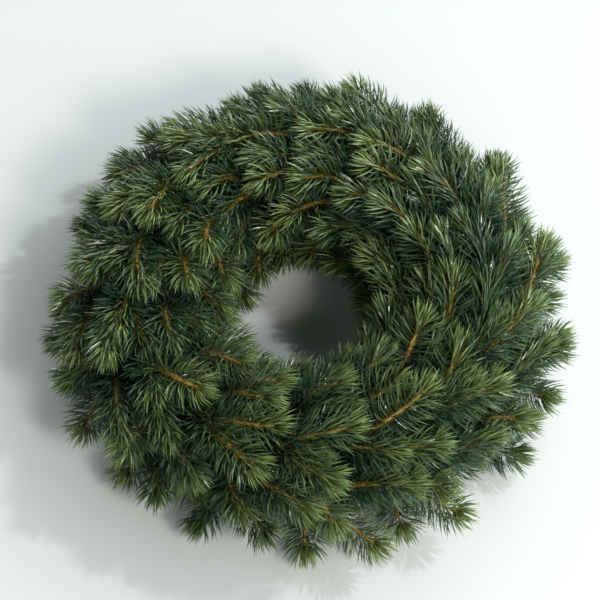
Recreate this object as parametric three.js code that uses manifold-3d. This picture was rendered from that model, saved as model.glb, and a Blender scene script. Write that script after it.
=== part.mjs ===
// A fresh evergreen wreath: spruce sprigs bound with wire onto a straw ring, lying on its back.
// Millimetres, +Z up. The origin is in the middle of the straw ring, on the surface that the wreath lies on.
import * as THREE from "three";
import { mergeVertices } from "three/addons/utils/BufferGeometryUtils.js";
import Module from "manifold-3d";

const wasm = await Module();
wasm.setup();

const degrees = THREE.MathUtils.degToRad;

// The straw ring, a bundle with twelve sides, pressed flat underneath
const RING_REACH = 118; // from the origin out to the middle of the straw
const STRAW_RADIUS = 18;
const STRAW_SIDES = 12;
const ROWS_PER_TURN = 3; // rows of straw facets to each turn of wire
const RING_HEIGHT = STRAW_RADIUS * Math.sin(degrees(60)); // so that two of the twelve sides lie flat
const NOTCH = 3; // how far the wire pulls the straw up off the surface
const NIP = 3.4; // how far it draws the straw in beside that

// The binding wire, one length wound round the ring and over every stem
const TURNS = 15; // each turn holds one bunch of sprigs
const TURN = (2 * Math.PI) / TURNS;
const WIRE_RADIUS = 0.7;
const WIRE_LOOP = 23.8; // from the middle of the straw to the wire, over the stems
const WIRE_TUCK = 7.2; // how far the wire draws in under the ring
const WIRE_FLOOR = 1.0; // height of the wire's middle where it crosses under the ring
const WIRE_STEPS_PER_TURN = 10;
const WIRE_OPEN = 0.12; // share of a turn left between the wire's two ends

// Stems
const STEM_SIDES = 3;
const STEM_CORNER = (2 * Math.PI) / STEM_SIDES;
const STEM_RADIUS = 1.8; // at the cut end
const FORK_RADIUS = 1.6; // where a side shoot leaves its main shoot
const TIP_RADIUS = 1.2;
const STEM_GAP = 0.45; // between a bound stem and the straw
const HELD_BACK = 20; // bound stem before the wire
const HELD_AHEAD = 6; // bound stem after the wire
const ARCH = 2.6; // above 1, a shoot rises early and levels out towards its tip
const NEARBY = 0.01; // share of a shoot over which its direction is taken
const STEM_RODS = 8; // straight lengths that stand for a stem where needles look for room

// Needles, in whorls of six between two rings of a stem
const WHORLS = 3; // a short shoot names fewer
const FIRST_WHORL = 0.3; // share of a shoot's length
const LAST_WHORL = 0.97;
const WHORL_HEIGHT = 1.5;
const NEEDLE_LENGTH = 21.5;
const LENGTH_DRAW = 0.1; // most that growth takes off a needle, as a share of its length
const NEEDLE_TIP_RADIUS = 0.12;
const NEEDLE_ROOT_RADIUS = 1.0;
const NEEDLE_LEAN = { first: degrees(62), last: degrees(44) }; // between a needle and its shoot, by whorl
const TIP_LEAN = degrees(16); // every other needle of the last whorl
const NEEDLE_SPOTS = [0.3, 0.6, 1]; // shares of a needle where its place is tested
const CLEAR = 0.5; // room kept between needles of different shoots
const FLOOR_CLEAR = 2; // lowest height of a needle

// The hole lies a little to the front left of the ring's middle
const HOLE_RADIUS = 43;
const HOLE_SHIFT = 8;
const HOLE_SIDE = degrees(225);
const HOLE_CLEAR = 36; // no needle comes nearer to the middle of the hole

// Each bunch is three sprigs. A sprig is held at an angle round the straw, measured up from outwards, and
// has a main shoot and side shoots. Each shoot ends at a reach and a height, and sweeps round the wreath
// from the wire. With a bend above 1 it turns outwards or inwards late, and below 1 early.
const BUNCH = [
  {
    name: "outer_sprig",
    held: degrees(6),
    shoots: [
      { reach: 184, height: 36, sweep: degrees(14), bend: 1.4 },
      { reach: 181, height: 16, sweep: degrees(4), bend: 1.1, fork: 0.12, whorls: 2 },
      { reach: 176, height: 56, sweep: degrees(7), bend: 1.2, fork: 0.08 },
      { reach: 169, height: 66, sweep: degrees(26), bend: 1.4, fork: 0.3 },
      { reach: 158, height: 26, sweep: degrees(24), bend: 1, fork: 0.16, whorls: 2 },
    ],
  },
  {
    name: "top_sprig",
    held: degrees(68),
    shoots: [
      { reach: 154, height: 79, sweep: degrees(30), bend: 1.5 },
      { reach: 140, height: 84, sweep: degrees(22), bend: 1.5, fork: 0.1, whorls: 2 },
      { reach: 124, height: 86, sweep: degrees(35), bend: 1.8, fork: 0.2, whorls: 2 },
      { reach: 158, height: 50, sweep: degrees(20), bend: 1, fork: 0.04, whorls: 2 },
    ],
  },
  {
    name: "inner_sprig",
    held: degrees(134),
    shoots: [
      { reach: 106, height: 85, sweep: degrees(27), bend: 2 },
      { reach: 84, height: 82, sweep: degrees(29), bend: 0.5, fork: 0.1, whorls: 2 },
      { reach: 65, height: 60, sweep: degrees(38), bend: 0.6, fork: 0.06, whorls: 2 },
      { reach: 57, height: 22, sweep: degrees(28), bend: 0.6, fork: 0.06, whorls: 2 },
    ],
  },
];
const SCATTER = { reach: 6, height: 6, sweep: degrees(4) }; // most that growth moves a shoot's end
const FIRST_DRAW = 41.1;
const UNEVEN = { share: 0.12, most: degrees(320) }; // the sweeps are fuller on one side of the wreath

const point = (angle, reach, height) =>
  new THREE.Vector3(reach * Math.cos(angle), reach * Math.sin(angle), height);

// A seeded draw from -1 to 1
function draw(seed) {
  const wave = Math.sin(seed * 12.9898) * 43758.5453;
  return 2 * (wave - Math.floor(wave)) - 1;
}

// Distance from the middle of the straw to its faceted surface, at an angle round it
function strawSurface(round) {
  const side = (2 * Math.PI) / STRAW_SIDES;
  const along = THREE.MathUtils.euclideanModulo(round, side) - side / 2;
  return (STRAW_RADIUS * Math.cos(side / 2)) / Math.cos(along);
}

function meshGeometry(points, triangles) {
  const geometry = new THREE.BufferGeometry().setFromPoints(points);
  geometry.setIndex(triangles.flat());
  return geometry;
}

// The rows of facets slant round the straw with the wire, which lies in a notch of every third row underneath
function strawRing() {
  const rows = TURNS * ROWS_PER_TURN;
  const points = [];
  for (let row = 0; row < rows; row++) {
    for (let side = 0; side < STRAW_SIDES; side++) {
      const share = side / STRAW_SIDES;
      const round = 2 * Math.PI * share;
      const underWire = row % ROWS_PER_TURN === 0;
      const radius = STRAW_RADIUS - (underWire ? NIP * Math.max(0, -Math.sin(round)) : 0);
      const height = RING_HEIGHT + radius * Math.sin(round);
      points.push(
        point(
          (2 * Math.PI * row) / rows + TURN * share,
          RING_REACH + radius * Math.cos(round),
          Math.max(height, underWire ? NOTCH : 0),
        ),
      );
    }
  }
  const index = (row, side) => {
    const slanted = side === STRAW_SIDES ? row + ROWS_PER_TURN : row;
    return (slanted % rows) * STRAW_SIDES + (side % STRAW_SIDES);
  };
  const triangles = [];
  for (let row = 0; row < rows; row++) {
    for (let side = 0; side < STRAW_SIDES; side++) {
      const a = index(row, side);
      const b = index(row + 1, side);
      const c = index(row + 1, side + 1);
      const d = index(row, side + 1);
      triangles.push([a, b, c], [a, c, d]);
    }
  }
  return meshGeometry(points, triangles);
}

class BindingLine extends THREE.Curve {
  getPoint(t) {
    const turn = (TURNS - WIRE_OPEN) * t;
    const round = 2 * Math.PI * turn;
    const under = Math.max(0, -Math.sin(round));
    const hugging = WIRE_LOOP - WIRE_TUCK * under;
    const loop = Math.min(hugging, (RING_HEIGHT - WIRE_FLOOR) / Math.max(under, 0.01));
    return point(
      TURN * turn,
      RING_REACH + loop * Math.cos(round),
      RING_HEIGHT + loop * Math.sin(round),
    );
  }
}

function bindingWire(line) {
  const section = new THREE.Shape(
    [0, 1, 2].map((corner) => {
      const angle = (2 * Math.PI * corner) / 3;
      return new THREE.Vector2(WIRE_RADIUS * Math.cos(angle), WIRE_RADIUS * Math.sin(angle));
    }),
  );
  return new THREE.ExtrudeGeometry(section, {
    steps: TURNS * WIRE_STEPS_PER_TURN,
    bevelEnabled: false,
    extrudePath: line,
  });
}

// How far round, out and up a shoot has grown at a share of its way from root to tip
function grownTo(root, tip, share, bend) {
  const grown = Math.max(share, 0);
  return {
    angle: THREE.MathUtils.lerp(root.angle, tip.angle, share),
    reach: THREE.MathUtils.lerp(root.reach, tip.reach, Math.pow(grown, bend)),
    height: THREE.MathUtils.lerp(tip.height, root.height, Math.pow(1 - grown, ARCH)),
  };
}

// The line of a shoot, from 0 at its root to 1 at its tip. Below 0 a main shoot's line is its bound stem.
function shootLine(root, tip, bend) {
  return (share) => {
    const { angle, reach, height } = grownTo(root, tip, share, bend);
    return point(angle, reach, height);
  };
}

// Where a shoot ends. Towards the hole, the ends move over with it.
function shootTip(root, shoot, seed) {
  const fuller = 1 + UNEVEN.share * Math.cos(root.angle - UNEVEN.most);
  const angle = root.angle + shoot.sweep * fuller + SCATTER.sweep * draw(seed + 0.1);
  const inward = Math.max(0, (RING_REACH - shoot.reach) / (RING_REACH - HOLE_RADIUS));
  const shifted = shoot.reach + HOLE_SHIFT * inward * Math.cos(angle - HOLE_SIDE);
  return {
    angle,
    reach: shifted + SCATTER.reach * draw(seed + 0.2),
    height: shoot.height + SCATTER.height * draw(seed + 0.3),
  };
}

// The lines of all shoots of one sprig
function sprigLines(turn, place) {
  const { held, shoots } = BUNCH[place];
  const loose = STEM_RADIUS + STEM_GAP + strawSurface(held);
  const reach = RING_REACH + loose * Math.cos(held);
  const root = {
    angle: TURN * (turn + held / (2 * Math.PI)) + HELD_AHEAD / reach,
    reach,
    height: RING_HEIGHT + loose * Math.sin(held),
  };
  const seeds = shoots.map((_, order) => FIRST_DRAW + 100 * turn + 10 * place + order);
  const mainTip = shootTip(root, shoots[0], seeds[0]);
  const heldShare = (HELD_BACK + HELD_AHEAD) / reach / (mainTip.angle - root.angle);
  return shoots.map((shoot, order) => {
    const { whorls = WHORLS } = shoot;
    const seed = seeds[order];
    if (order === 0) {
      const line = shootLine(root, mainTip, shoot.bend);
      return { line, seed, whorls, from: -heldShare, facing: -held, rootRadius: STEM_RADIUS };
    }
    const fork = grownTo(root, mainTip, shoot.fork, shoots[0].bend);
    const line = shootLine(fork, shootTip(root, shoot, seed), shoot.bend);
    return { line, seed, whorls, from: 0, facing: 0, rootRadius: FORK_RADIUS };
  });
}

// The direction of a line, and two directions across it, level and upwards
function frameAt(line, share) {
  const along = line(share + NEARBY).sub(line(share - NEARBY)).normalize();
  const level = new THREE.Vector3(0, 0, 1).cross(along).normalize();
  const upward = along.clone().cross(level);
  return { along, level, upward };
}

const across = ({ level, upward }, angle) =>
  level.clone().multiplyScalar(Math.cos(angle)).addScaledVector(upward, Math.sin(angle));

function lineLength(line) {
  let length = 0;
  for (let i = 0; i < STEM_RODS; i++) {
    length += line(i / STEM_RODS).distanceTo(line((i + 1) / STEM_RODS));
  }
  return length;
}

// Everything that needles keep clear of, as tapered rods
const rods = [];
const PARALLEL = 1e-9; // below this, two rods count as parallel

function rod(from, to, fromRadius, toRadius, owner) {
  const middle = from.clone().add(to).multiplyScalar(0.5);
  return { from, to, fromRadius, toRadius, owner, middle, half: from.distanceTo(to) / 2 };
}

// The room between two rods, where their middle lines come nearest
function roomBetween(p, q) {
  const d1 = p.to.clone().sub(p.from);
  const d2 = q.to.clone().sub(q.from);
  const r = p.from.clone().sub(q.from);
  const a = d1.dot(d1);
  const e = d2.dot(d2);
  const b = d1.dot(d2);
  const c = d1.dot(r);
  const f = d2.dot(r);
  const clamp = THREE.MathUtils.clamp;
  const flat = a * e - b * b;
  let s = flat > PARALLEL ? clamp((b * f - c * e) / flat, 0, 1) : 0;
  let t = (b * s + f) / e;
  if (t < 0 || t > 1) {
    t = clamp(t, 0, 1);
    s = clamp((b * t - c) / a, 0, 1);
  }
  const gap = r.addScaledVector(d1, s).addScaledVector(d2, -t).length();
  const lerp = THREE.MathUtils.lerp;
  return gap - lerp(p.fromRadius, p.toRadius, s) - lerp(q.fromRadius, q.toRadius, t);
}

const holeMiddle = point(HOLE_SIDE, HOLE_SHIFT, 0);

function isClear(needle) {
  for (const share of NEEDLE_SPOTS) {
    const spot = needle.from.clone().lerp(needle.to, share);
    if (spot.z < FLOOR_CLEAR) return false;
    if (Math.hypot(spot.x - holeMiddle.x, spot.y - holeMiddle.y) < HOLE_CLEAR) return false;
    const depth = Math.hypot(Math.hypot(spot.x, spot.y) - RING_REACH, spot.z - RING_HEIGHT);
    if (depth < STRAW_RADIUS + NEEDLE_ROOT_RADIUS) return false;
  }
  return rods.every((other) => {
    if (other.owner === needle.owner) return true;
    const apart = needle.middle.distanceTo(other.middle) - needle.half - other.half;
    return apart > 2 * STEM_RADIUS + CLEAR || roomBetween(needle, other) > CLEAR;
  });
}

// The ways that a needle is tried, until one is clear: turned round its shoot, leant, and shortened
const TRIES = [
  { turned: 0, leant: 0, share: 1 },
  { turned: 9, leant: -6, share: 1 },
  { turned: -9, leant: -6, share: 1 },
  { turned: 16, leant: 5, share: 0.95 },
  { turned: -16, leant: 5, share: 0.95 },
  { turned: 0, leant: -18, share: 0.9 },
  { turned: 0, leant: 10, share: 0.75 },
];

// The tip of a needle grown from a root, or nothing where no way is clear
function needleTip(rootSpot, frame, angle, lean, length, owner) {
  for (const { turned, leant, share } of TRIES) {
    const slant = lean + degrees(leant);
    const tip = rootSpot
      .clone()
      .addScaledVector(frame.along, length * share * Math.cos(slant))
      .addScaledVector(across(frame, angle + degrees(turned)), length * share * Math.sin(slant));
    const needle = rod(rootSpot, tip, NEEDLE_ROOT_RADIUS, NEEDLE_TIP_RADIUS, owner);
    if (isClear(needle)) {
      rods.push(needle);
      return tip;
    }
  }
  return null;
}

// The rings of points that a shoot's stem is made of. A whorl is two rings, which needles grow between.
function stemRings({ line, from, facing, rootRadius, whorls }) {
  const length = lineLength(line);
  const bound = from < 0 ? [from, from / 2, 0] : [0];
  const rings = bound.map((share) => ({ share, radius: rootRadius, turned: facing }));
  for (let whorl = 0; whorl < whorls; whorl++) {
    const along = whorl / (whorls - 1);
    const share = THREE.MathUtils.lerp(FIRST_WHORL, LAST_WHORL, along);
    const radius = THREE.MathUtils.lerp(rootRadius, TIP_RADIUS, share);
    const turned = facing + (STEM_CORNER / 4) * ((whorl + 1) % 2);
    const lean = THREE.MathUtils.lerp(NEEDLE_LEAN.first, NEEDLE_LEAN.last, along);
    rings.push({ share: share - WHORL_HEIGHT / length, radius, turned });
    rings.push({ share, radius, turned, leans: [lean, whorl === whorls - 1 ? TIP_LEAN : lean] });
  }
  return rings;
}

// One shoot as a closed mesh: a slim stem, each needle a spike raised from one of its facets
function shootGeometry(shoot) {
  const rings = stemRings(shoot);
  const points = [];
  const triangles = [];
  for (const ring of rings) {
    ring.frame = frameAt(shoot.line, ring.share);
    ring.first = points.length;
    const centre = shoot.line(ring.share);
    for (let corner = 0; corner < STEM_SIDES; corner++) {
      const angle = ring.turned + corner * STEM_CORNER;
      points.push(centre.clone().addScaledVector(across(ring.frame, angle), ring.radius));
    }
  }
  const corner = (ring, number) => ring.first + (number % STEM_SIDES);
  const raise = (facet, ring, angle, lean) => {
    const [a, b, c] = facet;
    const middle = points[a].clone().add(points[b]).add(points[c]).divideScalar(3);
    const length = NEEDLE_LENGTH * (1 - LENGTH_DRAW * Math.abs(draw(shoot.seed + angle)));
    const tip = needleTip(middle, ring.frame, angle, lean, length, shoot.owner);
    if (!tip) {
      triangles.push(facet);
      return;
    }
    points.push(tip);
    const t = points.length - 1;
    triangles.push([a, b, t], [b, c, t], [c, a, t]);
  };
  triangles.push([2, 1, 0].map((number) => corner(rings[0], number)));
  for (let i = 1; i < rings.length; i++) {
    const [low, high] = [rings[i - 1], rings[i]];
    for (let side = 0; side < STEM_SIDES; side++) {
      const first = [corner(low, side), corner(low, side + 1), corner(high, side)];
      const second = [corner(low, side + 1), corner(high, side + 1), corner(high, side)];
      if (!high.leans) {
        triangles.push(first, second);
        continue;
      }
      const start = high.turned + side * STEM_CORNER;
      raise(first, high, start + STEM_CORNER / 4, high.leans[0]);
      raise(second, high, start + (3 * STEM_CORNER) / 4, high.leans[1]);
    }
  }
  triangles.push([0, 1, 2].map((number) => corner(rings[rings.length - 1], number)));
  return meshGeometry(points, triangles);
}

const SAME_POINT = 1e-4;

function toSolid(geometry) {
  const merged = mergeVertices(geometry, SAME_POINT);
  return new wasm.Manifold(
    new wasm.Mesh({
      numProp: 3,
      vertProperties: merged.attributes.position.array,
      triVerts: new Uint32Array(merged.index.array),
    }),
  );
}

function toGeometry(solid) {
  const mesh = solid.getMesh();
  const geometry = new THREE.BufferGeometry();
  geometry.setAttribute("position", new THREE.BufferAttribute(mesh.vertProperties, 3));
  geometry.setIndex(new THREE.BufferAttribute(mesh.triVerts, 1));
  return geometry;
}

const materials = {
  needles: new THREE.MeshStandardMaterial({ color: 0x4a6b46, roughness: 0.5, metalness: 0 }),
  straw: new THREE.MeshStandardMaterial({ color: 0xb69a5f, roughness: 0.9, metalness: 0 }),
  wire: new THREE.MeshStandardMaterial({ color: 0x2f4a35, roughness: 0.4, metalness: 0.6 }),
};

const wreath = new THREE.Group();

function addPiece(name, geometry, material) {
  geometry.computeVertexNormals();
  const mesh = new THREE.Mesh(geometry, material);
  mesh.name = name;
  wreath.add(mesh);
}

function standWire() {
  const line = new BindingLine();
  const steps = TURNS * WIRE_STEPS_PER_TURN;
  for (let i = 0; i < steps; i++) {
    const from = line.getPointAt(i / steps);
    const to = line.getPointAt((i + 1) / steps);
    rods.push(rod(from, to, WIRE_RADIUS, WIRE_RADIUS, "wire"));
  }
}

function standStem({ line, from, owner }) {
  for (let i = 0; i < STEM_RODS; i++) {
    const start = THREE.MathUtils.lerp(from, 1, i / STEM_RODS);
    const end = THREE.MathUtils.lerp(from, 1, (i + 1) / STEM_RODS);
    rods.push(rod(line(start), line(end), STEM_RADIUS, STEM_RADIUS, owner));
  }
}

// Wire and stems take their places first, and needles then grow clear of them
function layOutSprigs() {
  standWire();
  const sprigs = [];
  for (let turn = 0; turn < TURNS; turn++) {
    BUNCH.forEach((sprig, place) => {
      const name = `${sprig.name}_${String(turn + 1).padStart(2, "0")}`;
      const shoots = sprigLines(turn, place).map((shoot, order) => ({ ...shoot, owner: `${name} ${order}` }));
      shoots.forEach(standStem);
      sprigs.push({ name, shoots });
    });
  }
  return sprigs;
}

const sprigs = layOutSprigs();
addPiece("straw_ring", strawRing(), materials.straw);
addPiece("binding_wire", bindingWire(new BindingLine()), materials.wire);
for (const { name, shoots } of sprigs) {
  const solids = shoots.map((shoot) => toSolid(shootGeometry(shoot)));
  const sprig = solids.reduce((whole, solid) => whole.add(solid));
  addPiece(name, toGeometry(sprig), materials.needles);
}

export default wreath;
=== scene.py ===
import math

import bpy
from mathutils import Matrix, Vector


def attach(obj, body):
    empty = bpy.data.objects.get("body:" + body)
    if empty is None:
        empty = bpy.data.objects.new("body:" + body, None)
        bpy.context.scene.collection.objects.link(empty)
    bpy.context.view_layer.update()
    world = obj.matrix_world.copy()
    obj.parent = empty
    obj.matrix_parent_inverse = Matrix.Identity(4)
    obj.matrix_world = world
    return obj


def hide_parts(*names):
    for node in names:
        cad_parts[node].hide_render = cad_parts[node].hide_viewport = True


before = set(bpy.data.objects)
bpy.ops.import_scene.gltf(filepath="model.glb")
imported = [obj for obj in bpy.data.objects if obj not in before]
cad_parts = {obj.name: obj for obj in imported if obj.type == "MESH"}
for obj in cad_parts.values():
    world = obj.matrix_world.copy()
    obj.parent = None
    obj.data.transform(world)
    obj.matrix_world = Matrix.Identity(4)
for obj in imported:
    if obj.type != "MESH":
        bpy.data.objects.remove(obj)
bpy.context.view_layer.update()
print("frame loaded:", len(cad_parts), "nodes")

mm = 0.001
deg = math.pi / 180
fullTurn = 2 * math.pi
goldenAngle = 137.508 * deg


# Small helpers that wire node trees together

def addNode(tree, kind, inputs=None, **settings):
    made = tree.nodes.new(kind)
    for name, value in settings.items():
        setattr(made, name, value)
    for name, value in (inputs or {}).items():
        socket = made.inputs[name]
        if isinstance(value, bpy.types.NodeSocket):
            tree.links.new(value, socket)
        else:
            socket.default_value = value
    return made


def calc(tree, operation, *values):
    return addNode(tree, "ShaderNodeMath", dict(enumerate(values)), operation=operation).outputs[0]


def vectorCalc(tree, operation, *values):
    made = addNode(tree, "ShaderNodeVectorMath", dict(enumerate(values)), operation=operation)
    return made.outputs["Vector"]


def remap(tree, value, fromLow, fromHigh, toLow, toHigh):
    sizes = {"Value": value, "From Min": fromLow, "From Max": fromHigh, "To Min": toLow, "To Max": toHigh}
    return addNode(tree, "ShaderNodeMapRange", sizes).outputs["Result"]


def randomBetween(tree, low, high, seed):
    made = addNode(tree, "FunctionNodeRandomValue", data_type="FLOAT")
    made.inputs[2].default_value = low
    made.inputs[3].default_value = high
    tree.links.new(seed, made.inputs["Seed"])
    return made.outputs[1]


def jitter(tree, most, seed, span=1.0):
    return calc(tree, "MULTIPLY", randomBetween(tree, -span, span, seed), most)


def storeFloat(tree, geometry, name, value, domain="POINT"):
    made = addNode(tree, "GeometryNodeStoreNamedAttribute", {"Geometry": geometry, "Name": name},
                   data_type="FLOAT", domain=domain)
    socket = made.inputs["Value"]
    if isinstance(value, bpy.types.NodeSocket):
        tree.links.new(value, socket)
    else:
        socket.default_value = value
    return made.outputs[0]


def namedFloat(tree, name):
    made = addNode(tree, "GeometryNodeInputNamedAttribute", {"Name": name}, data_type="FLOAT")
    return made.outputs["Attribute"]


def circle(tree, sides):
    return addNode(tree, "GeometryNodeCurvePrimitiveCircle", {"Resolution": sides, "Radius": 1.0}).outputs[0]


def tube(tree, path, section, thick, capped=True):
    sizes = {"Curve": path, "Profile Curve": section, "Scale": thick, "Fill Caps": capped}
    return addNode(tree, "GeometryNodeCurveToMesh", sizes).outputs[0]


def scaled(tree, geometry, scale):
    return addNode(tree, "GeometryNodeTransform", {"Geometry": geometry, "Scale": scale}).outputs[0]


def paint(tree, geometry, material):
    return addNode(tree, "GeometryNodeSetMaterial", {"Geometry": geometry, "Material": material}).outputs[0]


def realize(tree, geometry):
    return addNode(tree, "GeometryNodeRealizeInstances", {"Geometry": geometry}).outputs[0]


def join(tree, *parts):
    made = tree.nodes.new("GeometryNodeJoinGeometry")
    for part in parts:
        tree.links.new(part, made.inputs[0])
    return made.outputs[0]


def newTree(name, inputs):
    tree = bpy.data.node_groups.new(name, "GeometryNodeTree")
    tree.interface.new_socket("Geometry", in_out="INPUT", socket_type="NodeSocketGeometry")
    for label, kind in inputs.items():
        tree.interface.new_socket(label, in_out="INPUT", socket_type="NodeSocket" + kind)
    tree.interface.new_socket("Geometry", in_out="OUTPUT", socket_type="NodeSocketGeometry")
    source = tree.nodes.new("NodeGroupInput")
    target = tree.nodes.new("NodeGroupOutput")
    return tree, source.outputs, target.inputs["Geometry"]


def takeTilt(tree, geometry, name):
    # moves what the drawn lines carry in their tilt to an attribute, and untwists them
    tilt = addNode(tree, "GeometryNodeInputCurveTilt").outputs[0]
    lines = storeFloat(tree, geometry, name, tilt)
    return addNode(tree, "GeometryNodeSetCurveTilt", {"Curve": lines, "Tilt": 0.0}).outputs[0]


def grow(name, source, tree, values):
    # runs a tree on a curve and keeps the result as a plain mesh object
    holder = bpy.data.objects.new(name + "_lines", source)
    bpy.context.collection.objects.link(holder)
    modifier = holder.modifiers.new("grow", "NODES")
    modifier.node_group = tree
    for item in tree.interface.items_tree:
        if item.item_type == "SOCKET" and item.in_out == "INPUT" and item.name in values:
            modifier[item.identifier] = values[item.name]
    bpy.context.view_layer.update()
    ready = holder.evaluated_get(bpy.context.evaluated_depsgraph_get())
    mesh = bpy.data.meshes.new_from_object(ready)
    mesh.name = name
    bpy.data.objects.remove(holder)
    piece = bpy.data.objects.new(name, mesh)
    bpy.context.collection.objects.link(piece)
    return piece


# Camera: the photograph's view, from the front and above

cameraView = {
    "elevation": 61 * deg,
    "distance": 1.4,
    "target": Vector((-0.006, 0.002, 0.045)),
    "pixelsPerMetre": 1362,
    "frameWidth": 600,
    "sensor": 36,
}


def makeCamera(view):
    data = bpy.data.cameras.new("camera")
    data.sensor_width = view["sensor"]
    data.lens = view["sensor"] * view["pixelsPerMetre"] * view["distance"] / view["frameWidth"]
    camera = bpy.data.objects.new("camera", data)
    bpy.context.collection.objects.link(camera)
    away = Vector((0, -math.cos(view["elevation"]), math.sin(view["elevation"])))
    camera.location = view["target"] + away * view["distance"]
    camera.rotation_euler = (math.pi / 2 - view["elevation"], 0, 0)
    bpy.context.scene.camera = camera
    print("camera placed")


makeCamera(cameraView)


# Layout: fifteen turns of wire, each holding a bunch of three sprigs

ringSizes = {
    "reach": 118 * mm,
    "strawRadius": 18 * mm,
    "strawSides": 12,
    "flatCorner": 60 * deg,  # the straw is pressed flat underneath, up to its corners this far below
    "turns": 15,
    "stemRadius": 1.8 * mm,
    "stemGap": 0.45 * mm,
    "heldBack": 20 * mm,
    "heldAhead": 6 * mm,
    "scatter": {"reach": 6 * mm, "height": 6 * mm, "sweep": 4 * deg},
    "firstDraw": 41.1,
    "arch": 2.6,
    "uneven": {"share": 0.12, "most": 320 * deg},
    "hole": {"radius": 43 * mm, "shift": 8 * mm, "side": 225 * deg},
    "lineSteps": 24,
}
ringSizes["height"] = ringSizes["strawRadius"] * math.sin(ringSizes["flatCorner"])
ringSizes["turn"] = fullTurn / ringSizes["turns"]

bunch = [
    {"name": "outer_sprig", "held": 6 * deg, "shoots": [
        {"reach": 184 * mm, "height": 36 * mm, "sweep": 14 * deg, "bend": 1.4},
        {"reach": 181 * mm, "height": 16 * mm, "sweep": 4 * deg, "bend": 1.1, "fork": 0.12},
        {"reach": 176 * mm, "height": 56 * mm, "sweep": 7 * deg, "bend": 1.2, "fork": 0.08},
        {"reach": 169 * mm, "height": 66 * mm, "sweep": 26 * deg, "bend": 1.4, "fork": 0.3},
        {"reach": 158 * mm, "height": 26 * mm, "sweep": 24 * deg, "bend": 1.0, "fork": 0.16},
    ]},
    {"name": "top_sprig", "held": 68 * deg, "shoots": [
        {"reach": 154 * mm, "height": 79 * mm, "sweep": 30 * deg, "bend": 1.5},
        {"reach": 140 * mm, "height": 84 * mm, "sweep": 22 * deg, "bend": 1.5, "fork": 0.1},
        {"reach": 124 * mm, "height": 86 * mm, "sweep": 35 * deg, "bend": 1.8, "fork": 0.2},
        {"reach": 158 * mm, "height": 50 * mm, "sweep": 20 * deg, "bend": 1.0, "fork": 0.04},
    ]},
    {"name": "inner_sprig", "held": 134 * deg, "shoots": [
        {"reach": 106 * mm, "height": 85 * mm, "sweep": 27 * deg, "bend": 2.0},
        {"reach": 84 * mm, "height": 82 * mm, "sweep": 29 * deg, "bend": 0.5, "fork": 0.1},
        {"reach": 65 * mm, "height": 60 * mm, "sweep": 38 * deg, "bend": 0.6, "fork": 0.06},
        {"reach": 57 * mm, "height": 22 * mm, "sweep": 28 * deg, "bend": 0.6, "fork": 0.06},
    ]},
]


def draw(seed):
    # a repeatable draw from -1 to 1
    wave = math.sin(seed * 12.9898) * 43758.5453
    return 2 * (wave - math.floor(wave)) - 1


def mix(low, high, share):
    return low + (high - low) * share


def point(place):
    angle, reach, height = place
    return Vector((reach * math.cos(angle), reach * math.sin(angle), height))


def strawSurface(angle):
    # from the middle of the straw out to its faceted surface
    side = fullTurn / ringSizes["strawSides"]
    along = angle % side - side / 2
    return ringSizes["strawRadius"] * math.cos(side / 2) / math.cos(along)


def shootPlace(root, tip, bend, share):
    # angle, reach and height at a share of a shoot: it rises early, and a bend above 1 moves it out late
    outward = max(share, 0) ** bend
    upward = 1 - (1 - max(share, 0)) ** ringSizes["arch"]
    return (mix(root[0], tip[0], share), mix(root[1], tip[1], outward), mix(root[2], tip[2], upward))


def sprigShoots(turn, place):
    # the lines of one sprig's shoots, each with a mood and a list of (point, share along the shoot)
    sprig = bunch[place]
    loose = ringSizes["stemRadius"] + ringSizes["stemGap"] + strawSurface(sprig["held"])
    reach = ringSizes["reach"] + loose * math.cos(sprig["held"])
    height = ringSizes["height"] + loose * math.sin(sprig["held"])
    angle = ringSizes["turn"] * (turn + sprig["held"] / fullTurn) + ringSizes["heldAhead"] / reach
    root = (angle, reach, height)
    scatter, hole, uneven = ringSizes["scatter"], ringSizes["hole"], ringSizes["uneven"]
    fuller = 1 + uneven["share"] * math.cos(angle - uneven["most"])
    steps = ringSizes["lineSteps"]
    lines = []
    for order, shoot in enumerate(sprig["shoots"]):
        seed = ringSizes["firstDraw"] + 100 * turn + 10 * place + order
        tipAngle = angle + shoot["sweep"] * fuller + scatter["sweep"] * draw(seed + 0.1)
        inward = max(0, (ringSizes["reach"] - shoot["reach"]) / (ringSizes["reach"] - hole["radius"]))
        shifted = shoot["reach"] + hole["shift"] * inward * math.cos(tipAngle - hole["side"])
        tip = (
            tipAngle,
            shifted + scatter["reach"] * draw(seed + 0.2),
            shoot["height"] + scatter["height"] * draw(seed + 0.3),
        )
        if order == 0:
            mainTip, mainBend = tip, shoot["bend"]
            held = (ringSizes["heldBack"] + ringSizes["heldAhead"]) / reach
            start = -held / (tip[0] - angle)
            bound, base = [start, start / 2], root
        else:
            bound, base = [], shootPlace(root, mainTip, mainBend, shoot["fork"])
        shares = bound + [step / steps for step in range(steps + 1)]
        lines.append({
            "mood": 0.5 + 0.5 * draw(seed + 0.4),
            "points": [(point(shootPlace(base, tip, shoot["bend"], share)), share) for share in shares],
        })
    return lines


# Materials. A fade's four numbers are where it starts and ends, and the shares there.

def newMaterial(name, surface):
    material = bpy.data.materials.new(name)
    material.use_nodes = True
    tree = material.node_tree
    tree.nodes.clear()
    shader = tree.nodes.new("ShaderNodeBsdfPrincipled")
    output = tree.nodes.new("ShaderNodeOutputMaterial")
    tree.links.new(shader.outputs[0], output.inputs["Surface"])
    for label, value in surface.items():
        shader.inputs[label].default_value = value
    return material, tree, shader


def attribute(tree, name):
    return addNode(tree, "ShaderNodeAttribute", attribute_name=name).outputs["Fac"]


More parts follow.
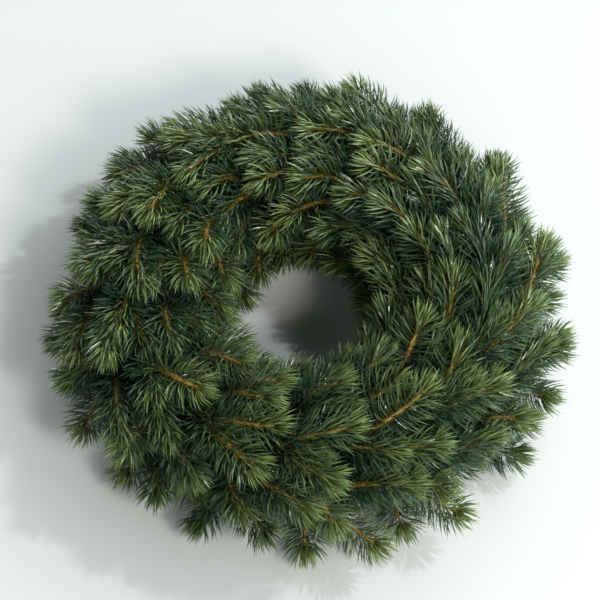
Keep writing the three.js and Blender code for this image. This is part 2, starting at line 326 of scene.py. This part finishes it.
def colourRamp(tree, value, stops):
    made = addNode(tree, "ShaderNodeValToRGB", {"Fac": value})
    ramp = made.color_ramp
    while len(ramp.elements) < len(stops):
        ramp.elements.new(0.5)
    for element, (position, colour) in zip(ramp.elements, stops):
        element.position = position
        element.color = (*colour, 1)
    return made.outputs["Color"]


def blend(tree, share, colour, towards):
    made = addNode(tree, "ShaderNodeMix", data_type="RGBA")
    tree.links.new(share, made.inputs[0])
    tree.links.new(colour, made.inputs[6])
    made.inputs[7].default_value = (*towards, 1)
    return made.outputs[2]


def noise(tree, scale, detail=2.0):
    place = addNode(tree, "ShaderNodeTexCoord").outputs["Object"]
    sizes = {"Vector": place, "Scale": scale, "Detail": detail}
    return addNode(tree, "ShaderNodeTexNoise", sizes).outputs["Fac"]


def weighted(tree, parts):
    # the sum of some values, each times its weight
    total = None
    for value, weight in parts:
        part = calc(tree, "MULTIPLY", value, weight)
        total = part if total is None else calc(tree, "ADD", total, part)
    return total


needleLook = {
    # the darkest green is painted shade between the shoots
    "greens": [(0.17, (0.002, 0.013, 0.006)), (0.64, (0.030, 0.085, 0.024)), (1.0, (0.205, 0.284, 0.077))],
    "ageAndShadeWeights": {"alongShoot": 0.4, "tint": 0.42, "mood": 0.24, "patches": 0.2},
    "patchScale": 14.0,
    # teal of older needles and painted shade, put under each shoot and towards its base
    "olderAndShadedTeal": (0.008, 0.057, 0.052),
    "olderAndShadedBelow": (-1.0, 0.6, 0.8, 0.0),
    "olderAndShadedAlong": (0.3, 0.85, 0.75, 0.0),
    "paleTip": (0.46, 0.52, 0.32),
    "paleFade": (0.6, 1.0, 0.0, 0.14),
    "rootShade": (0.0, 0.75, 0.16, 1.1),
    "heart": (0.17, 0.165, 0.026),
    "heartFade": (0.1, 0.6, 0.6, 0.0),
    "heartAbove": (0.1, 0.9, 0.0, 1.0),
    "peg": (0.38, 0.24, 0.032),
    "pegFade": (0.06, 0.17, 0.9, 0.0),
    "surface": {"Roughness": 0.27, "Specular IOR Level": 0.5, "Coat Weight": 0.1, "Coat Roughness": 0.2},
}


def needleMaterial(look):
    material, tree, shader = newMaterial("spruce_needles", look["surface"])
    names = ("alongShoot", "tint", "mood", "alongNeedle", "upper")
    values = {name: attribute(tree, name) for name in names}
    values["patches"] = noise(tree, look["patchScale"])
    alongShoot, alongNeedle, upper = values["alongShoot"], values["alongNeedle"], values["upper"]
    # darker towards each shoot's base: partly younger tips being lighter, partly painted shade of the
    # wreath's inside; the other weights are random tone
    ageAndShade = weighted(tree, [(values[name], weight) for name, weight in look["ageAndShadeWeights"].items()])
    colour = colourRamp(tree, ageAndShade, look["greens"])
    # teal under each shoot and towards its base: partly older needles, partly painted shade
    below = remap(tree, upper, *look["olderAndShadedBelow"])
    behind = remap(tree, alongShoot, *look["olderAndShadedAlong"])
    colour = blend(tree, calc(tree, "MAXIMUM", below, behind), colour, look["olderAndShadedTeal"])
    colour = blend(tree, remap(tree, alongNeedle, *look["paleFade"]), colour, look["paleTip"])
    shade = remap(tree, alongNeedle, *look["rootShade"])
    colour = addNode(tree, "ShaderNodeVectorMath", {0: colour, "Scale": shade}, operation="SCALE").outputs[0]
    nearStem = remap(tree, alongNeedle, *look["heartFade"])
    above = remap(tree, upper, *look["heartAbove"])
    colour = blend(tree, calc(tree, "MULTIPLY", nearStem, above), colour, look["heart"])
    colour = blend(tree, remap(tree, alongNeedle, *look["pegFade"]), colour, look["peg"])
    tree.links.new(colour, shader.inputs["Base Color"])
    return material


barkLook = {
    "grains": [(0.3, (0.045, 0.027, 0.006)), (0.62, (0.46, 0.305, 0.043))],
    "grainScale": 900.0,
    "bump": {"Strength": 0.5, "Distance": 0.3 * mm},
    "surface": {"Roughness": 0.75},
}


def barkMaterial(look):
    material, tree, shader = newMaterial("twig_bark", look["surface"])
    grain = noise(tree, look["grainScale"], detail=3.0)
    tree.links.new(colourRamp(tree, grain, look["grains"]), shader.inputs["Base Color"])
    bump = addNode(tree, "ShaderNodeBump", dict(look["bump"], Height=grain))
    tree.links.new(bump.outputs[0], shader.inputs["Normal"])
    return material


strawLook = {
    "straws": [(0.2, (0.32, 0.2, 0.07)), (0.8, (0.62, 0.46, 0.2))],
    "tintWeight": 0.6,
    "streakWeight": 0.4,
    "streakScale": 220.0,
    "surface": {"Roughness": 0.5},
}


def strawMaterial(look):
    material, tree, shader = newMaterial("dry_straw", look["surface"])
    streaks = noise(tree, look["streakScale"], detail=3.0)
    shade = weighted(tree, [(attribute(tree, "tint"), look["tintWeight"]), (streaks, look["streakWeight"])])
    tree.links.new(colourRamp(tree, shade, look["straws"]), shader.inputs["Base Color"])
    return material


wireLook = {
    "lacquer": [(0.4, (0.015, 0.05, 0.022)), (0.7, (0.03, 0.07, 0.035))],
    "wearScale": 300.0,
    "surface": {"Roughness": 0.35},
}


def wireMaterial(look):
    material, tree, shader = newMaterial("green_wire", look["surface"])
    colour = colourRamp(tree, noise(tree, look["wearScale"]), look["lacquer"])
    tree.links.new(colour, shader.inputs["Base Color"])
    return material


# Sprigs: twigs with curved needles in a spiral. A shoot's mood runs from 0, where the upper needles
# lie forward over the stem, to 1, where they stand out and part along it.

sprigSizes = {
    "inputs": {
        "Needle Length": 21.5 * mm,
        "Needle Width": 1.85 * mm,
        "Needle Spacing": 0.228 * mm,
        "Needle Bow": 0.38,
        "Bow Middle": 0.55,
        "Base Lean": 90 * deg,
        "Tip Lean": 74 * deg,
        "Lean Spread": 10 * deg,
        "Cover Lean": 38 * deg,
        "Scatter": 11 * deg,
        "Twist": 35 * deg,
        "Parting": 0.34,
        "Crown Lean": 80 * deg,
        "Stem Radius": 1.75 * mm,
        "Tip Radius": 1.1 * mm,
        "Stem Step": 1.7 * mm,
        "Stem Roughness": 0.4,
        "Bud Radius": 1.5 * mm,
        "Pressed Above": 100 * mm,
        "Pressed Share": 0.35,
        "Floor Gap": 0.4 * mm,
    },
    "seeds": {"around": 0, "lean": 7, "aside": 13, "length": 29, "tint": 41, "twist": 53, "spin": 67},
    "needleSides": 3,
    "needleSection": (1.0, 0.75, 1.0),
    "needleLengths": (0.84, 1.06),
    "aroundScatter": 1.5,
    "leanFrom": 0.55,
    # fades: from where to where, then the shares there
    "backLength": (0.0, 0.3, 0.8, 1.0),
    "frontLength": (0.8, 1.0, 1.0, 0.88),
    "partedMood": (0.68, 1.0, 0.0, 1.0),
    "partedAlong": (0.6, 0.9, 1.0, 0.4),
    "coverTop": (0.2, 1.0, 0.0, 1.0),
    "coverMood": (0.6, 0.86, 1.0, 0.0),
    "coverAlong": (0.6, 0.9, 0.0, 0.7),
    "crownNeedles": 36,
    "crownLengths": (0.6, 0.9),
    "crownUpper": 0.95,
    "stemSides": 5,
    "bud": {"Segments": 8, "Rings": 6},
    "budStretch": (1.0, 1.0, 2.0),
    "mergeWithin": 0.01 * mm,
}


def needleShape(tree, inputs):
    # one needle along Z, pointed at both ends and bowed towards the stem, root at the origin
    line = addNode(tree, "GeometryNodeCurveQuadraticBezier", {"Resolution": 2, "Start": (0, 0, 0)})
    length = inputs["Needle Length"]
    bow = calc(tree, "MULTIPLY", length, inputs["Needle Bow"])
    halfway = calc(tree, "MULTIPLY", length, inputs["Bow Middle"])
    middle = addNode(tree, "ShaderNodeCombineXYZ", {"X": 0.0, "Z": halfway})
    end = addNode(tree, "ShaderNodeCombineXYZ", {"X": calc(tree, "MULTIPLY", bow, -1.0), "Z": length})
    tree.links.new(middle.outputs[0], line.inputs["Middle"])
    tree.links.new(end.outputs[0], line.inputs["End"])
    along = addNode(tree, "GeometryNodeSplineParameter").outputs["Factor"]
    stored = storeFloat(tree, line.outputs[0], "alongNeedle", along)
    half = calc(tree, "MULTIPLY", inputs["Needle Width"], 0.5)
    radius = calc(tree, "MULTIPLY", calc(tree, "PINGPONG", calc(tree, "MULTIPLY", along, 2.0), 1.0), half)
    section = scaled(tree, circle(tree, sprigSizes["needleSides"]), sprigSizes["needleSection"])
    mesh = tube(tree, stored, section, radius, capped=False)
    sizes = {"Geometry": mesh, "Distance": sprigSizes["mergeWithin"]}
    return addNode(tree, "GeometryNodeMergeByDistance", sizes).outputs[0]


def standAlong(tree, tangent):
    # the turn that takes Z to the stem's line and X to its upper side
    side = vectorCalc(tree, "NORMALIZE", vectorCalc(tree, "CROSS_PRODUCT", (0.0, 0.0, 1.0), tangent))
    upward = vectorCalc(tree, "CROSS_PRODUCT", tangent, side)
    return addNode(tree, "FunctionNodeAxesToRotation", {0: tangent, 1: upward},
                   primary_axis="Z", secondary_axis="X").outputs[0]


def localTurn(tree, base, x, y, z):
    euler = addNode(tree, "ShaderNodeCombineXYZ", {"X": x, "Y": y, "Z": z})
    local = addNode(tree, "FunctionNodeEulerToRotation", {0: euler.outputs[0]})
    return addNode(tree, "FunctionNodeRotateRotation",
                   {"Rotation": base, "Rotate By": local.outputs[0]}, rotation_space="LOCAL").outputs[0]


def needleInstances(tree, points, needle, rotation, length, seed):
    size = addNode(tree, "ShaderNodeCombineXYZ", {"X": 1.0, "Y": 1.0, "Z": length})
    made = addNode(tree, "GeometryNodeInstanceOnPoints", {
        "Points": points, "Instance": needle, "Rotation": rotation, "Scale": size.outputs[0]})
    return storeFloat(tree, made.outputs[0], "tint", randomBetween(tree, 0.0, 1.0, seed), "INSTANCE")


def twig(tree, inputs, shoots, seeds):
    path = addNode(tree, "GeometryNodeResampleCurve",
                   {"Curve": shoots["lines"], "Length": inputs["Stem Step"]}, mode="LENGTH")
    thick = remap(tree, shoots["alongShoot"], 0.0, 1.0, inputs["Stem Radius"], inputs["Tip Radius"])
    knobs = jitter(tree, inputs["Stem Roughness"], seeds["lean"])
    thick = calc(tree, "MULTIPLY", thick, calc(tree, "ADD", knobs, 1.0))
    stem = tube(tree, path.outputs[0], circle(tree, sprigSizes["stemSides"]), thick)
    return paint(tree, stem, inputs["Bark"])


def needleAround(tree, inputs, shoots, seeds):
    # each needle's place round the stem, parted along the upper side
    index = addNode(tree, "GeometryNodeInputIndex").outputs[0]
    spiral = calc(tree, "MULTIPLY", index, goldenAngle)
    scattered = jitter(tree, inputs["Scatter"], seeds["around"], sprigSizes["aroundScatter"])
    spiral = calc(tree, "WRAP", calc(tree, "ADD", spiral, scattered), math.pi, -math.pi)
    byMood = remap(tree, shoots["mood"], *sprigSizes["partedMood"])
    byPlace = remap(tree, shoots["alongShoot"], *sprigSizes["partedAlong"])
    parting = calc(tree, "MULTIPLY", calc(tree, "MULTIPLY", inputs["Parting"], byMood), byPlace)
    parted = calc(tree, "MULTIPLY", calc(tree, "SINE", spiral), parting)
    double = calc(tree, "SINE", calc(tree, "MULTIPLY", spiral, 2.0))
    combed = calc(tree, "MULTIPLY", double, calc(tree, "MULTIPLY", parting, 0.5))
    return calc(tree, "ADD", spiral, calc(tree, "ADD", parted, combed))


def needleLean(tree, inputs, shoots, seeds, around):
    # each needle's angle from the stem, less on the upper side of a covered stem and towards the tip
    base, tip = inputs["Base Lean"], inputs["Tip Lean"]
    lean = remap(tree, shoots["alongShoot"], sprigSizes["leanFrom"], 1.0, base, tip)
    lean = calc(tree, "ADD", lean, jitter(tree, inputs["Scatter"], seeds["lean"]))
    spread = calc(tree, "MULTIPLY", remap(tree, shoots["mood"], 0.0, 1.0, -1.0, 1.0), inputs["Lean Spread"])
    lean = calc(tree, "ADD", lean, spread)
    onTop = remap(tree, calc(tree, "COSINE", around), *sprigSizes["coverTop"])
    byMood = remap(tree, shoots["mood"], *sprigSizes["coverMood"])
    byPlace = remap(tree, shoots["alongShoot"], *sprigSizes["coverAlong"])
    covered = calc(tree, "MULTIPLY", onTop, calc(tree, "MAXIMUM", byMood, byPlace))
    return calc(tree, "SUBTRACT", lean, calc(tree, "MULTIPLY", covered, inputs["Cover Lean"]))


def needleRows(tree, inputs, shoots, seeds, needle):
    spots = addNode(tree, "GeometryNodeCurveToPoints",
                    {"Curve": shoots["lines"], "Length": inputs["Needle Spacing"]}, mode="LENGTH")
    around = needleAround(tree, inputs, shoots, seeds)
    lean = needleLean(tree, inputs, shoots, seeds, around)
    aside = jitter(tree, inputs["Scatter"], seeds["aside"])
    turned = localTurn(tree, standAlong(tree, spots.outputs["Tangent"]), aside, lean, around)
    turned = localTurn(tree, turned, 0.0, 0.0, jitter(tree, inputs["Twist"], seeds["twist"]))
    length = randomBetween(tree, *sprigSizes["needleLengths"], seeds["length"])
    for fade in ("backLength", "frontLength"):
        length = calc(tree, "MULTIPLY", length, remap(tree, shoots["alongShoot"], *sprigSizes[fade]))
    tagged = storeFloat(tree, spots.outputs["Points"], "upper", calc(tree, "COSINE", around))
    return needleInstances(tree, tagged, needle, turned, length, seeds["tint"])


def tipCrown(tree, inputs, seeds, needle):
    # needles spread evenly over a cap, the first along the shoot and the last leaning out most
    count = sprigSizes["crownNeedles"]
    points = addNode(tree, "GeometryNodePoints", {"Count": count})
    index = addNode(tree, "GeometryNodeInputIndex").outputs[0]
    outwards = calc(tree, "SQRT", calc(tree, "DIVIDE", calc(tree, "ADD", index, 0.5), float(count)))
    lean = calc(tree, "MULTIPLY", outwards, inputs["Crown Lean"])
    upright = addNode(tree, "FunctionNodeEulerToRotation").outputs[0]
    around = localTurn(tree, upright, 0.0, 0.0, calc(tree, "MULTIPLY", index, goldenAngle))
    turned = localTurn(tree, around, 0.0, lean, jitter(tree, inputs["Twist"], seeds["twist"]))
    length = randomBetween(tree, *sprigSizes["crownLengths"], seeds["twist"])
    crown = needleInstances(tree, points.outputs[0], needle, turned, length, seeds["twist"])
    return realize(tree, storeFloat(tree, crown, "upper", sprigSizes["crownUpper"], "INSTANCE"))


def scalyBud(tree, inputs):
    sizes = dict(sprigSizes["bud"], Radius=inputs["Bud Radius"])
    ball = addNode(tree, "GeometryNodeMeshUVSphere", sizes).outputs[0]
    return scaled(tree, ball, sprigSizes["budStretch"])


def atTips(tree, shoots, seeds, shape):
    tips = addNode(tree, "GeometryNodeCurveEndpointSelection", {"Start Size": 0, "End Size": 1}).outputs[0]
    tangent = addNode(tree, "GeometryNodeInputTangent").outputs[0]
    spin = randomBetween(tree, 0.0, fullTurn, seeds["spin"])
    turned = localTurn(tree, standAlong(tree, tangent), 0.0, 0.0, spin)
    return addNode(tree, "GeometryNodeInstanceOnPoints", {
        "Points": shoots["lines"], "Selection": tips, "Instance": shape, "Rotation": turned}).outputs[0]


def settle(tree, inputs, geometry):
    # needles that meet the floor lie on it, and the highest ones are pressed down a little
    place = addNode(tree, "GeometryNodeInputPosition").outputs[0]
    parts = addNode(tree, "ShaderNodeSeparateXYZ", {0: place}).outputs
    above = calc(tree, "MAXIMUM", calc(tree, "SUBTRACT", parts[2], inputs["Pressed Above"]), 0.0)
    pressed = calc(tree, "SUBTRACT", parts[2], calc(tree, "MULTIPLY", above, inputs["Pressed Share"]))
    height = calc(tree, "MAXIMUM", pressed, inputs["Floor Gap"])
    resting = addNode(tree, "ShaderNodeCombineXYZ", {"X": parts[0], "Y": parts[1], "Z": height})
    sizes = {"Geometry": geometry, "Position": resting.outputs[0]}
    return addNode(tree, "GeometryNodeSetPosition", sizes).outputs[0]


def sprigTree(sizes):
    kinds = {name: "Float" for name in sizes["inputs"]}
    kinds.update({"Seed": "Int", "Needles": "Material", "Bark": "Material"})
    tree, inputs, output = newTree("spruce_sprig", kinds)
    seeds = {name: calc(tree, "ADD", inputs["Seed"], float(step)) for name, step in sizes["seeds"].items()}
    alongShoot = addNode(tree, "GeometryNodeInputRadius").outputs[0]
    lines = takeTilt(tree, storeFloat(tree, inputs["Geometry"], "alongShoot", alongShoot), "mood")
    shoots = {"lines": lines, "alongShoot": namedFloat(tree, "alongShoot"), "mood": namedFloat(tree, "mood")}
    needle = needleShape(tree, inputs)
    stem = twig(tree, inputs, shoots, seeds)
    rows = needleRows(tree, inputs, shoots, seeds, needle)
    crowns = atTips(tree, shoots, seeds, tipCrown(tree, inputs, seeds, needle))
    buds = realize(tree, atTips(tree, shoots, seeds, scalyBud(tree, inputs)))
    green = paint(tree, realize(tree, join(tree, rows, crowns)), inputs["Needles"])
    joined = join(tree, stem, paint(tree, buds, inputs["Bark"]), green)
    flat = addNode(tree, "GeometryNodeSetShadeSmooth",
                   {"Geometry": settle(tree, inputs, joined), "Shade Smooth": False})
    tree.links.new(flat.outputs[0], output)
    return tree


def drawnLines(name, lines):
    # a curve whose points carry a size or a share in their radius, and each line's mood in their tilt
    data = bpy.data.curves.new(name, "CURVE")
    data.dimensions = "3D"
    for line in lines:
        spline = data.splines.new("POLY")
        spline.points.add(len(line["points"]) - 1)
        for knot, (place, size) in zip(spline.points, line["points"]):
            knot.co = (*place, 1)
            knot.radius = max(size, 0)
            knot.tilt = line["mood"]
    return data


def makeSprigs():
    tree = sprigTree(sprigSizes)
    looks = {"Needles": needleMaterial(needleLook), "Bark": barkMaterial(barkLook)}
    triangles = 0
    for turn in range(ringSizes["turns"]):
        for place, sprig in enumerate(bunch):
            node = f"{sprig['name']}_{turn + 1:02d}"
            values = dict(sprigSizes["inputs"], Seed=10 * turn + place, **looks)
            lines = drawnLines(node, sprigShoots(turn, place))
            piece = grow("spruce_" + node, lines, tree, values)
            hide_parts(node)
            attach(piece, "root")
            triangles += sum(len(face.vertices) - 2 for face in piece.data.polygons)
    print("sprigs grown:", triangles, "triangles")


makeSprigs()


# Straw ring: straws laid round a core, and drawn in underneath by each turn of wire

strawSizes = {
    "straws": 320,
    "sides": 5,
    "steps": 10,
    "startStep": 0.618034,  # of a full turn, from one straw to the next
    "aroundStep": 0.414214,
    "radius": 1.3 * mm,
    "thickness": (0.8, 0.2),  # middle and draw, as shares of the radius
    "sunk": 1.5 * mm,
    "rough": 0.8 * mm,
    "span": 55 * deg,
    "spanDraw": 0.3,
    "drift": 16 * deg,
    "core": 14.4 * mm,
    "coreSteps": 90,
    "nip": 2.4 * mm,
    "nipWidth": 7 * mm,
}


def strawPlace(angle, around, sunk):
    under = max(0, -math.sin(around))
    turns = angle / ringSizes["turn"] - around / fullTurn
    fromWire = abs(turns - round(turns)) * ringSizes["turn"] * ringSizes["reach"]
    nipped = strawSizes["nip"] * under * max(0, 1 - fromWire / strawSizes["nipWidth"])
    out = strawSurface(around) - sunk - nipped
    height = max(ringSizes["height"] + out * math.sin(around), strawSizes["radius"] + nipped)
    return point((angle, ringSizes["reach"] + out * math.cos(around), height))


def strawLines(sizes):
    coreSteps, steps = sizes["coreSteps"], sizes["steps"]
    core = [(point((fullTurn * step / coreSteps, ringSizes["reach"], ringSizes["height"])), sizes["core"])
            for step in range(coreSteps + 1)]
    lines = [{"mood": 0.0, "points": core}]
    middle, drawn = sizes["thickness"]
    for straw in range(sizes["straws"]):
        start = fullTurn * straw * sizes["startStep"]
        around = fullTurn * straw * sizes["aroundStep"]
        sunk = sizes["sunk"] + sizes["rough"] * draw(straw + 0.1)
        span = sizes["span"] * (1 + sizes["spanDraw"] * draw(straw + 0.2))
        drift = sizes["drift"] * draw(straw + 0.3)
        radius = sizes["radius"] * (middle + drawn * draw(straw + 0.4))
        points = []
        for step in range(steps + 1):
            share = step / steps
            points.append((strawPlace(start + span * share, around + drift * share, sunk), radius))
        lines.append({"mood": 0.5 + 0.5 * draw(straw + 0.5), "points": points})
    return lines


# Binding wire, one length wound round the ring and over every stem

wireSizes = {
    "radius": 0.5 * mm,
    "sides": 6,
    "loop": 23.8 * mm,
    "tuck": 7.2 * mm,
    "floor": 1.0 * mm,
    "open": 0.12,
    "stepsPerTurn": 40,
}


def wireLines(sizes):
    steps = ringSizes["turns"] * sizes["stepsPerTurn"]
    points = []
    for step in range(steps + 1):
        turn = (ringSizes["turns"] - sizes["open"]) * step / steps
        around = fullTurn * turn
        under = max(0, -math.sin(around))
        hugging = sizes["loop"] - sizes["tuck"] * under
        loop = min(hugging, (ringSizes["height"] - sizes["floor"]) / max(under, 0.01))
        place = point((
            ringSizes["turn"] * turn,
            ringSizes["reach"] + loop * math.cos(around),
            ringSizes["height"] + loop * math.sin(around),
        ))
        points.append((place, sizes["radius"]))
    return [{"mood": 0.5, "points": points}]


def strandTree():
    # thickens each line to the size that its points carry
    tree, inputs, output = newTree("strands", {"Sides": "Int", "Surface": "Material"})
    lines = takeTilt(tree, inputs["Geometry"], "tint")
    thick = addNode(tree, "GeometryNodeInputRadius").outputs[0]
    mesh = tube(tree, lines, circle(tree, inputs["Sides"]), thick)
    smooth = addNode(tree, "GeometryNodeSetShadeSmooth", {"Geometry": mesh})
    tree.links.new(paint(tree, realize(tree, smooth.outputs[0]), inputs["Surface"]), output)
    return tree


def makeRing():
    tree = strandTree()
    straw, wire = strawMaterial(strawLook), wireMaterial(wireLook)
    pieces = [
        ("straw_bundle", "straw_ring", "straw", strawLines(strawSizes), strawSizes["sides"], straw),
        ("wound_wire", "binding_wire", "binding_wire", wireLines(wireSizes), wireSizes["sides"], wire),
    ]
    for name, node, slot, lines, sides, material in pieces:
        piece = grow(name, drawnLines(name, lines), tree, {"Sides": sides, "Surface": material})
        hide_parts(node)
        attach(piece, "root")
        print(name, len(piece.data.polygons), "faces")


makeRing()


# Studio: pale floor, a small key light from the right, a softer fill from the front right, and a sky that
# is bright low down, more so to the right

studio = {
    "floorSize": 8.0,
    "floorColour": (0.86, 0.875, 0.88),
    "floorRoughness": 0.6,
    "skyColour": (0.85, 0.92, 0.915),
    "skyHeights": (0.6, 0.82),
    "skyLow": 1.5,
    "skyHigh": 0.02,
    "skySides": (0.9, 0.3),
    "key": {"place": (1.47, 0.6, 1.67), "size": 0.08, "power": 15, "colour": (0.93, 0.975, 1.0)},
    "fill": {"place": (1.14, -1.29, 1.52), "size": 0.5, "power": 21, "colour": (1.0, 0.965, 0.88)},
}


def makeFloor(facts):
    half = facts["floorSize"] / 2
    mesh = bpy.data.meshes.new("floor")
    corners = [(-half, -half, 0), (half, -half, 0), (half, half, 0), (-half, half, 0)]
    mesh.from_pydata(corners, [], [(0, 1, 2, 3)])
    floor = bpy.data.objects.new("floor", mesh)
    bpy.context.collection.objects.link(floor)
    surface = {"Base Color": (*facts["floorColour"], 1), "Roughness": facts["floorRoughness"]}
    mesh.materials.append(newMaterial("pale_floor", surface)[0])


def makeLight(name, facts):
    data = bpy.data.lights.new(name, "AREA")
    data.shape = "DISK"
    data.size = facts["size"]
    data.energy = facts["power"]
    data.color = facts["colour"]
    light = bpy.data.objects.new(name, data)
    light.location = facts["place"]
    light.rotation_euler = Vector(facts["place"]).to_track_quat("Z", "Y").to_euler()
    bpy.context.collection.objects.link(light)


def makeSky(facts):
    world = bpy.data.worlds.new("sky")
    world.use_nodes = True
    tree = world.node_tree
    backdrop = tree.nodes["Background"]
    backdrop.inputs["Color"].default_value = (*facts["skyColour"], 1)
    looking = addNode(tree, "ShaderNodeTexCoord").outputs["Generated"]
    ways = addNode(tree, "ShaderNodeSeparateXYZ", {0: looking}).outputs
    strength = remap(tree, ways["Z"], *facts["skyHeights"], facts["skyLow"], facts["skyHigh"])
    for way, gain in zip("XY", facts["skySides"]):
        side = calc(tree, "MULTIPLY_ADD", ways[way], gain, 1.0)
        strength = calc(tree, "MULTIPLY", strength, side)
    tree.links.new(strength, backdrop.inputs["Strength"])
    bpy.context.scene.world = world


makeFloor(studio)
makeLight("key", studio["key"])
makeLight("fill", studio["fill"])
makeSky(studio)
bpy.context.scene.view_settings.view_transform = "Standard"
print("studio ready")
